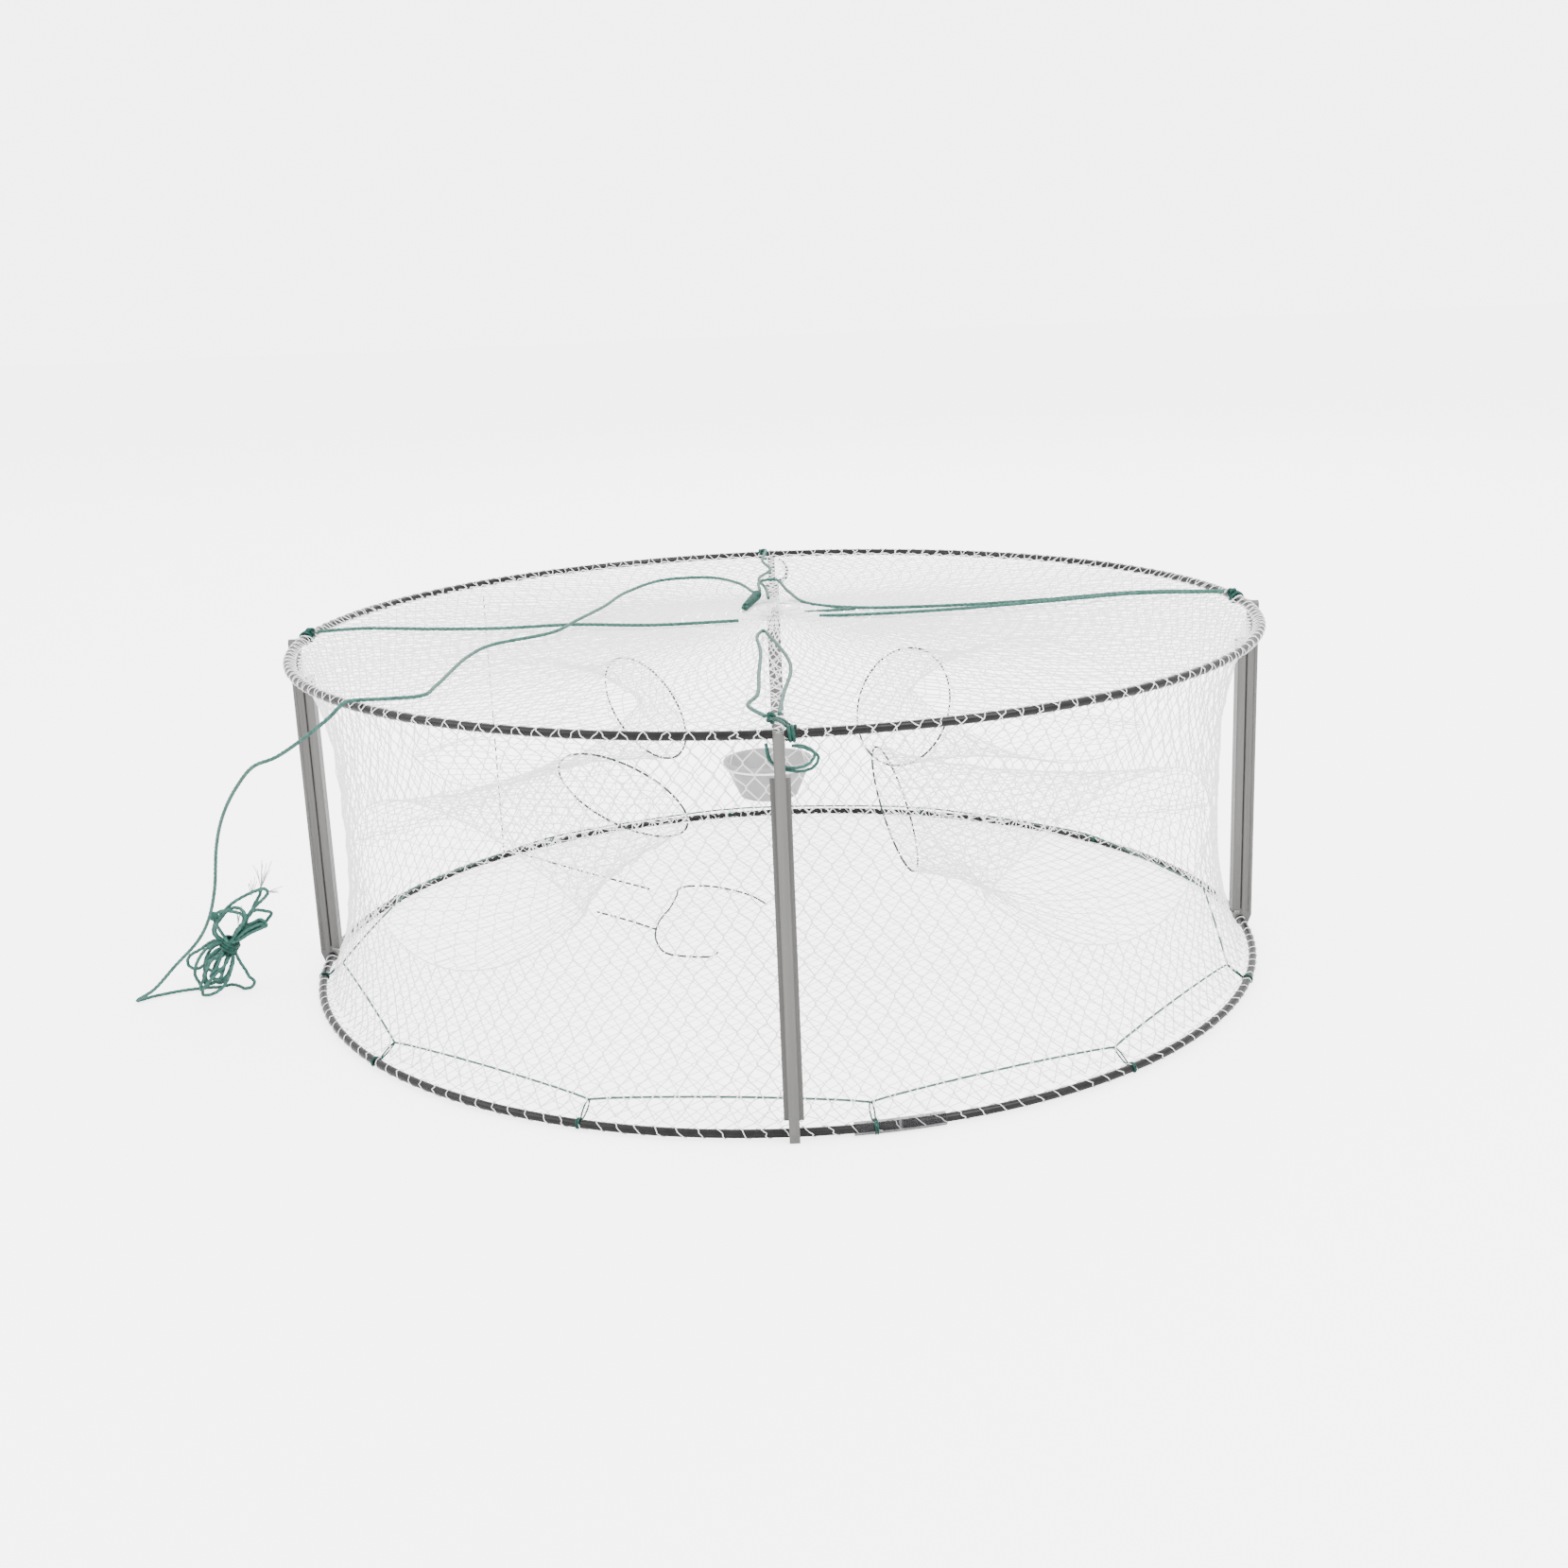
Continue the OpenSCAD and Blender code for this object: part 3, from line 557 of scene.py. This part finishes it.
# ---------------------------------------------------------------- lacing above the bottom hoop
TIES, LACING_R, LACING_Z, FIRST_TIE = 12, 154.6 * MM, 6.5 * MM, 8
LACING_BOW = 1.1 * MM
SLEEVE_TIE = 9
line = []
for k in range(TIES):
    a, b = (LACING_R * direction(FIRST_TIE + 30 * (k + step)) for step in (0, 1))
    for share in np.linspace(0, 1, 14, endpoint=False):
        bow = LACING_BOW * math.sin(math.pi * share) ** 0.6
        line.append(a * (1 - share) + b * share + np.array([0, 0, LACING_Z + bow]))
lacing = piece("lacing_line", *rope(line, 0.7 * MM, 8, closed=True), lacing_mat, "green_twine")
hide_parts("floor_lacing")
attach(lacing, "bottom_frame")

loops = Heap()
for k in range(TIES):
    deg = FIRST_TIE + 30 * k
    out, along = direction(deg), sideways(deg)
    grip = 2.2 * MM if k == SLEEVE_TIE else ROD_R + 0.3 * MM
    t = TAU * np.arange(28)[:, None] / 28
    top_at = out * LACING_R + np.array([0, 0, LACING_Z])
    foot_at = out * (HOOP_R - grip) + np.array([0, 0, Z_BOTTOM + 0.6 * MM])
    oval = (top_at + foot_at) / 2 + np.cos(t) * (top_at - foot_at) / 2 + np.sin(t) * 0.65 * MM * along
    loops.add(*rope(oval, 0.5 * MM, 8, closed=True))
    for shift in (-0.3, 0.3):
        arc = np.radians(np.linspace(-40, 220, 24))[:, None]
        loops.add(*rope(out * HOOP_R + np.array([0, 0, Z_BOTTOM]) + along * shift * MM
                        + grip * (np.cos(arc) * out + np.sin(arc) * np.array([0, 0, 1])), 0.5 * MM, 8))
ties = loops.make("lacing_tie_loops", twine_shade_mat, "green_twine")
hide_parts("lacing_ties")
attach(ties, "bottom_frame")


# ---------------------------------------------------------------- netting
MESH_W, MESH_H = 5.75 * MM, 8.3 * MM
STRAND_R = 0.17 * MM
FINE_R = 0.13 * MM
COLUMNS = int(round(TAU * 155 * MM / MESH_W))


def wall_radius(z):
    return WAIST_R + (NET_R - WAIST_R) * np.abs((z - Z_MID) / HALF) ** 3


def lattice(columns, rows, closed=True):
    """Column and row numbers of a diamond net's knots, and the strands that join them."""
    i, j = np.meshgrid(np.arange(columns), np.arange(rows + 1), indexing="ij")
    i, j = i.ravel(), j.ravel()
    u = i + (j % 2) / 2
    keep = j < rows
    a = np.nonzero(keep)[0]
    ia, ja = i[a], j[a]
    left = np.where(ja % 2 == 0, ia - 1, ia)
    right = np.where(ja % 2 == 0, ia, ia + 1)
    ok_l, ok_r = (left >= 0) | closed, (right < columns) | closed
    number = lambda c, r: (c % columns) * (rows + 1) + r
    pairs_l = np.stack([a, number(left, ja + 1)], 1)[ok_l]
    pairs_r = np.stack([a, number(right, ja + 1)], 1)[ok_r]
    return u, j, pairs_l, pairs_r


def clipped(heap, points, pairs, inside, r=STRAND_R):
    """The part of each strand that lies inside, for strands with one end outside."""
    ok = inside(points)
    pairs = pairs[ok[pairs[:, 0]] != ok[pairs[:, 1]]]
    a = np.where(ok[pairs[:, :1]], points[pairs[:, 0]], points[pairs[:, 1]])
    b = np.where(ok[pairs[:, :1]], points[pairs[:, 1]], points[pairs[:, 0]])
    lo, hi = np.zeros(len(a)), np.ones(len(a))
    for _ in range(8):
        mid = (lo + hi) / 2
        good = inside(a + (b - a) * mid[:, None])
        lo, hi = np.where(good, mid, lo), np.where(good, hi, mid)
    heap.add(*struts(a, a + (b - a) * lo[:, None], np.full(len(a), r)))


def knotted(heap, points, along, strands_l, strands_r, knots, r=STRAND_R):
    """Strands and knots of a net; along is each knot's long direction."""
    half = 0.55 * MM
    tip, foot = points + along * half * 0.7, points - along * half * 0.7
    for pairs, radius in ((strands_l, r * 1.12), (strands_r, r)):
        heap.add(*struts(tip[pairs[:, 0]], foot[pairs[:, 1]], np.full(len(pairs), radius)))
    heap.add(*beads(points[knots], along[knots], half * 1.25, np.full(len(knots), r * 1.9)))


def jitter(n, size):
    return rng.normal(0, size, (n, 3))


def lens_share(x, z, angle):
    """Under 1 inside an entrance's outline on the wall, for points at height z and angle."""
    gap = (angle - x + 180) % 360 - 180
    u = wall_radius(z) * np.sin(np.radians(gap))
    v = z - MOUTH_Z
    far = np.maximum(np.hypot(u, v + LENS_SHIFT), np.hypot(u, v - LENS_SHIFT)) / LENS_R
    return np.where(np.abs(gap) < 60, far, 9.0)


def wall_outside(points):
    """For points on the wall, whether each is outside every entrance."""
    ang = np.degrees(np.arctan2(points[:, 1], points[:, 0]))
    return np.min([lens_share(m[1], points[:, 2], ang) for m in MOUTHS], 0) > 1.0


def wall_net():
    rows = 28
    u, j, left, right = lattice(COLUMNS, rows)
    z = Z_BOTTOM + 1.2 * MM + (2 * HALF - 2.4 * MM) * j / rows
    ang = TAU * u / COLUMNS + 0.004 * np.sin(3 * TAU * u / COLUMNS)
    r = wall_radius(z)
    points = np.stack([r * np.cos(ang), r * np.sin(ang), z], 1)
    inner = (j > 0) & (j < rows)
    points[inner] += jitter(inner.sum(), 0.28 * MM)
    along = np.tile([0.0, 0.0, 1.0], (len(points), 1))
    out = wall_outside(points)
    heap = Heap()
    whole = lambda pairs: pairs[out[pairs[:, 0]] & out[pairs[:, 1]]]
    knotted(heap, points, along, whole(left), whole(right), np.nonzero(out & inner)[0])
    for pairs in (left, right):
        clipped(heap, points, pairs, wall_outside)
    return heap


def floor_net():
    """Plain diamond netting over the bottom hoop, its meshes long from front to back."""
    reach = int(2 * NET_R / MESH_W) + 6
    rows = int(4 * NET_R / MESH_H) + 8
    u, j, left, right = lattice(reach, rows, closed=False)
    x = (u - reach / 2) * MESH_W
    y = (j - rows / 2) * MESH_H / 2
    x = x + 1.6 * MM * np.sin(y / (31 * MM)) + 0.12 * y
    points = np.stack([x, y, np.full(len(x), Z_BOTTOM)], 1)
    points[:, :2] += rng.normal(0, 0.3 * MM, (len(points), 2))
    inside = lambda p: np.hypot(p[:, 0], p[:, 1]) < NET_R
    ok = inside(points)
    heap = Heap()
    whole = lambda pairs: pairs[ok[pairs[:, 0]] & ok[pairs[:, 1]]]
    long_way = np.tile([0.0, 1.0, 0.0], (len(points), 1))
    knotted(heap, points, long_way, whole(left), whole(right), np.nonzero(ok)[0], FINE_R)
    for pairs in (left, right):
        clipped(heap, points, pairs, inside, FINE_R)
    return heap


def lens_points(m, deg):
    u = MOUTH_W * np.cos(np.radians(deg))
    s = np.sin(np.radians(deg))
    v = (np.sqrt(LENS_R**2 - u**2) - LENS_SHIFT) * np.sign(s) * (np.abs(s) > 1e-9)
    r = wall_radius(MOUTH_Z + v)
    return np.sqrt(r**2 - u**2)[:, None] * direction(m[1]) + u[:, None] * sideways(m[1]) + \
        np.stack([0 * v, 0 * v, MOUTH_Z + v], 1)


def inner_points(m, deg):
    _, ang, radius, side, height, half_l, half_w, tilt = m
    a = np.radians(deg - tilt)
    t = math.radians(tilt)
    u = half_l * np.cos(a) * math.cos(t) - half_w * np.sin(a) * math.sin(t)
    v = half_l * np.cos(a) * math.sin(t) + half_w * np.sin(a) * math.cos(t)
    return (radius * direction(ang) + (side + u)[:, None] * sideways(ang)
            + np.stack([0 * v, 0 * v, height + v], 1)) * MM


def inner_middle(m):
    return (m[2] * direction(m[1]) + m[3] * sideways(m[1]) + np.array([0, 0, m[4]])) * MM


def funnel_points(m, deg, share):
    """Points on an entrance's funnel, share of the way in from the wall to the inner mouth."""
    s = share[:, None]
    start = WAIST_R * direction(m[1]) + np.array([0, 0, MOUTH_Z])
    c = start * (1 - s) + inner_middle(m) * s
    p = lens_points(m, deg) * (1 - s) + inner_points(m, deg) * s
    return c + (p - c) * (1 - 0.5 * s * (1 - s))


def funnel_net(m):
    columns, rows = 36, 20
    u, j, left, right = lattice(columns, rows)
    deg = 360 * u / columns
    share = 0.005 + 0.99 * (j / rows)
    points = funnel_points(m, deg, share)
    ahead = funnel_points(m, deg, share + 0.01)
    inner = (j > 0) & (j < rows)
    points[inner] += jitter(inner.sum(), 0.3 * MM)
    heap = Heap()
    knotted(heap, points, unit(ahead - points), left, right, np.nonzero(inner)[0], FINE_R)
    rim = lens_points(m, np.arange(0, 360, 4.0))
    heap.add(*rope(rim, 0.45 * MM, 5, closed=True))
    return heap


def gathered_net(columns, rim_z, centre, centre_r, sag):
    """A hoop's net whose meshes run from the rim and are drawn together at centre."""
    side = math.hypot(MESH_W / 2, MESH_H / 2)
    radii, r = [NET_R], NET_R
    while r > centre_r:
        half_w = math.pi * r / columns
        r -= math.sqrt(max(side**2 - half_w**2, (0.4 * side) ** 2))
        radii.append(max(r, centre_r))
    rows = len(radii) - 1
    u, j, left, right = lattice(columns, rows)
    r = np.array(radii)[j]
    pull = 1 - (r - centre_r) / (NET_R - centre_r)
    ang = TAU * u / columns
    cx, cy, cz = centre
    dip = sag * np.sin(math.pi * np.clip(pull, 0, 1) * 0.75)
    rise = (cz - rim_z - sag * math.sin(0.75 * math.pi)) * pull**6
    points = np.stack([r * np.cos(ang) + cx * pull**1.5, r * np.sin(ang) + cy * pull**1.5,
                       rim_z + dip + rise], 1)
    along = np.stack([-np.cos(ang), -np.sin(ang), 0 * ang], 1)
    inner = (j > 0) & (j < rows - 1)
    size = np.minimum(0.3 * MM, 0.06 * MM + r[inner] * 0.002)
    points[inner] += rng.normal(0, 1, (inner.sum(), 3)) * size[:, None] * (1, 1, 0.5)
    heap = Heap()
    thick = j < rows - 6
    knotted(heap, points, along, left, right, np.nonzero(inner & thick)[0])
    return heap


def hoop_wraps(z, seed, ways, turns=COLUMNS):
    """Lashing wound round a hoop and out to the net's edge, once for each way in ways."""
    cut = np.array([(-2.65, 0.0), (-1.5, 0.95), (-0.5, 1.4), (0.6, 1.34), (1.3, 0.66), (1.44, -0.1),
                    (1.18, -0.88), (0.3, -1.41), (-0.8, -1.3), (-1.7, -0.8)]) * MM
    heap = Heap()
    k = np.arange(turns * len(cut))
    lap, step = np.divmod(k, len(cut))
    for way in ways:
        turn = (lap + step / len(cut)) / turns * TAU
        phase = seed + way * 0.6
        turn = phase / turns + way * (turn + 0.35 * TAU / turns * np.sin(5 * turn + 2.1 * seed) / 2)
        turn = turn + rng.normal(0, 0.06 * TAU / turns, len(k))
        pos = cut[step] + rng.normal(0, 0.03 * MM, (len(k), 2))
        r = HOOP_R + pos[:, 0]
        points = np.stack([r * np.cos(turn), r * np.sin(turn), z + pos[:, 1]], 1)
        heap.add(*struts(points, np.roll(points, -1, 0), np.full(len(k), 0.14 * MM)))
    return heap


def net_tuft():
    """The netting's drawn-in edge that stands up past the drawstring at the top net's middle."""
    heap = Heap()
    for _ in range(46):
        a = rng.uniform(0, TAU)
        foot = np.array([0.002, 0.034, 0.1146]) + 2.0 * MM * np.array([math.cos(a), math.sin(a), 0])
        neck = np.array([0.001, 0.030, 0.1156]) + 0.9 * MM * np.array([math.cos(a), math.sin(a), 0.6])
        swing = rng.uniform(-0.5, 0.5)
        tip = neck + rng.uniform(9, 24) * MM * np.array([0.55 * swing, -1, rng.uniform(-0.02, 0.09)])
        way = smooth_path([foot, neck, (neck + tip) / 2 + rng.normal(0, 0.6 * MM, 3), tip], 1.5 * MM)
        way[:, 2] = np.clip(way[:, 2], 0.1136, 0.118)
        heap.add(*rope(way, 2 * STRAND_R, 5))
    return heap


def stitches(points, d, stitch, gap, closed=False, step=0.6 * MM):
    """Thread woven along a line of points through the meshes, so that it shows as stitches."""
    way = smooth_path(points, step, closed)
    if closed:
        way = np.concatenate([way, way[:1]])
    run = np.concatenate([[0], np.cumsum(np.linalg.norm(np.diff(way, axis=0), axis=1))])
    heap, at = Heap(), 0.3 * gap
    while at < run[-1] - 0.5 * MM:
        to = min(at + stitch * rng.uniform(0.7, 1.4), run[-1])
        spots = np.linspace(at, to, max(4, int((to - at) / step)))
        thread = np.stack([np.interp(spots, run, way[:, k]) for k in range(3)], 1)
        heap.add(*rope(thread, d, 6))
        at = to + gap * rng.uniform(0.6, 1.4)
    return heap


GATHER_AT, GATHER_R, TOP_SAG = (0.002, 0.032, 0.1152), 4.5 * MM, -2.6 * MM
SEAM_AT = direction(136) * (HOOP_R - 1.95 * MM)
SIDE_SEAM = [SEAM_AT + np.array([0, 0, z]) for z in (Z_BOTTOM + MM, Z_MID, Z_TOP - 3 * MM)]
FLOOR_SEAM = [(-108, 112, 2.8), (-95, 99, 2.8), (-81, 85, 2.8), (-66, 71, 2.8), (-52, 58, 2.8)]
FLOOR_RING = [(-24, -16), (-26, -20), (-35, -19), (-42, -15), (-46, -3), (-47, 8), (-46, 21),
              (-43, 34), (-41, 49), (-40, 58), (-31, 59), (-22, 54), (-13, 45), (-7, 34)]
FLOOR_BRANCH = [(-46.4, 10), (-58, 22), (-70, 33)]


def floor_loop_stitches():
    """The woven loop in the floor net and the branch that leaves it."""
    heap = stitches([(x * MM, y * MM, 2.8 * MM) for x, y in FLOOR_RING], 0.7 * MM, 3.6 * MM, MM)
    branch = stitches([(x * MM, y * MM, 2.8 * MM) for x, y in FLOOR_BRANCH], 0.7 * MM, 3 * MM, 1.6 * MM)
    heap.add(np.concatenate(branch.verts), branch.faces)
    return heap


wall = wall_net().make("side_netting", net_mat, "net")
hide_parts("side_net")
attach(wall, "bottom_frame")
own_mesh(wall)
for m in MOUTHS:
    net = funnel_net(m).make("funnel_netting_" + m[0], net_mat, "net")
    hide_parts("funnel_" + m[0])
    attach(net, "bottom_frame")
    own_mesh(net)
    loop = inner_points(m, np.arange(0, 360, 3.0))
    line = stitches(loop, 0.75 * MM, 4 * MM, 0.9 * MM, closed=True).make(
        "inner_mouth_" + m[0], mouth_mat, "dark_thread")
    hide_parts("mouth_" + m[0])
    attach(line, "bottom_frame")
    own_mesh(line)

for heap, name, mat, slot, body, node in (
        (floor_net(), "floor_netting", net_mat, "net", "bottom_frame", "floor_net"),
        (gathered_net(COLUMNS, Z_TOP, GATHER_AT, GATHER_R, TOP_SAG), "top_netting", net_mat, "net",
         "top_frame", "top_net"),
        (net_tuft(), "top_net_tuft", net_mat, "net", "top_frame", "top_gather"),
        (stitches(SIDE_SEAM, 0.6 * MM, 2.1 * MM, 1.4 * MM), "side_seam_stitches", thread_mat, "dark_thread",
         "bottom_frame", "side_seam"),
        (stitches(np.array(FLOOR_SEAM) * MM, 0.7 * MM, 3 * MM, 1.6 * MM), "floor_seam_stitches", mouth_mat,
         "dark_thread", "bottom_frame", "floor_seam"),
        (floor_loop_stitches(), "floor_loop_stitches", mouth_mat, "dark_thread", "bottom_frame",
         "floor_loop")):
    obj = heap.make(name, mat, slot)
    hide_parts(node)
    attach(obj, body)
    if node == "side_seam":
        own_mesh(obj)
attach(hoop_wraps(Z_BOTTOM, 0.3, (1,)).make("bottom_lashing", net_mat, "net"), "bottom_frame")
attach(hoop_wraps(Z_TOP, 2.0, (1, -1)).make("top_lashing", net_mat, "net"), "top_frame")


# ---------------------------------------------------------------- cup, strings, bars and rods
CUP_LO, CUP_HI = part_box("bait_cup")
CUP_X = round((CUP_LO.x + CUP_HI.x) / 2, 4)
CUP_R = round((CUP_HI.x - CUP_LO.x) / 2, 5)
CUP_H = CUP_HI.z - CUP_LO.z


def turned(profile, middle, around=96):
    """A closed profile of (radius, height) points turned about a vertical axis through middle."""
    prof = np.asarray(profile, float)
    a = TAU * np.arange(around)[:, None] / around
    radius, height = prof[None, :, 0], prof[None, :, 1]
    verts = np.stack([radius * np.cos(a), radius * np.sin(a), height + 0 * a], -1)
    n = len(prof)
    i, k = np.arange(around)[:, None], np.arange(n)[None]
    i1, k1 = (i + 1) % around, (k + 1) % n
    quads = np.stack([i * n + k, i1 * n + k, i1 * n + k1, i * n + k1], -1).reshape(-1, 4)
    return verts.reshape(-1, 3) + np.asarray(middle), quads


axis_r = 0.02 * MM
cup_profile = [(axis_r, 0), (9.4 * MM, 0), (9.9 * MM, 0.25 * MM), (10.15 * MM, 0.8 * MM),
               (14.7 * MM, CUP_H - 1.9 * MM),
               (CUP_R - 0.15 * MM, CUP_H - 1.4 * MM), (CUP_R, CUP_H - 0.95 * MM), (CUP_R, CUP_H - 0.35 * MM),
               (CUP_R - 0.3 * MM, CUP_H), (CUP_R - 1.2 * MM, CUP_H), (CUP_R - 1.5 * MM, CUP_H - 0.4 * MM),
               (9.3 * MM, 1.5 * MM), (8.6 * MM, 1.0 * MM), (axis_r, 1.0 * MM)]
cup = piece("bait_cup_shell", *turned(cup_profile, (CUP_X, 0, CUP_LO.z)), cup_mat, "cup_plastic")
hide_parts("bait_cup")
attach(cup, "cup")

strings = Heap()
hang_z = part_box("cup_hanger")[1].z
for deg in (90, 210, 330):
    rim_at = np.array([CUP_X, 0, CUP_HI.z + 0.4 * MM]) + (CUP_R - 0.6 * MM) * direction(deg)
    strings.add(*rope(np.linspace((CUP_X, 0, hang_z), rim_at, 12), 2 * STRAND_R, 6))
cup_strings = strings.make("cup_strings", net_mat, "net")
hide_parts("cup_hanger")
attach(cup_strings, "top_frame")
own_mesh(cup_strings)


def node_finish(names, mat, smooth=True):
    for name in names:
        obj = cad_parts[name]
        obj.data.materials.clear()
        obj.data.materials.append(mat)
        obj.data.polygons.foreach_set("use_smooth", [smooth] * len(obj.data.polygons))


node_finish(["bottom_hoop", "top_hoop"], rod_mat)
node_finish(["strut_right", "strut_back", "strut_left", "strut_front"], bar_mat,
            smooth=False)
node_finish(["hoop_sleeve"], sleeve_mat)
node_finish(["cup_tie"], net_mat)
node_finish(["hank_knot"], twine_shade_mat)


# ---------------------------------------------------------------- floor, lights and world
def plane(name, size, z, mat):
    s = size / 2
    mesh = bpy.data.meshes.new(name)
    mesh.from_pydata([(-s, -s, z), (s, -s, z), (s, s, z), (-s, s, z)], [], [(0, 1, 2, 3)])
    mesh.materials.append(mat)
    obj = bpy.data.objects.new(name, mesh)
    bpy.context.scene.collection.objects.link(obj)
    return obj


plane("ground", 12, -0.0002, floor_mat)


def area_light(name, place, aim, size, power):
    data = bpy.data.lights.new(name, "AREA")
    data.size, data.energy = size, power
    obj = bpy.data.objects.new(name, data)
    obj.location = place
    obj.rotation_mode = "QUATERNION"
    obj.rotation_quaternion = (Vector(aim) - Vector(place)).to_track_quat("-Z", "Y")
    bpy.context.scene.collection.objects.link(obj)


area_light("key", (0.9, -0.9, 1.5), (0, 0, 0.05), 1.0, 36)
area_light("fill", (-1.3, -0.5, 1.0), (0, 0, 0.05), 1.2, 16)
area_light("back", (0.2, 1.4, 1.2), (0, 0, 0.05), 1.2, 18)
world = bpy.data.worlds.new("studio")
world.use_nodes = True
world.node_tree.nodes["Background"].inputs["Color"].default_value = (1, 1, 1, 1)
casts = world.node_tree.nodes["Background"].inputs["Strength"]
more = world.node_tree.nodes.new("ShaderNodeMath")
more.operation = "ADD"
more.inputs[1].default_value = 2.4
world.node_tree.links.new(seen_only(world.node_tree.nodes, world.node_tree.links, 3.0), more.inputs[0])
world.node_tree.links.new(more.outputs["Value"], casts)
bpy.context.scene.world = world
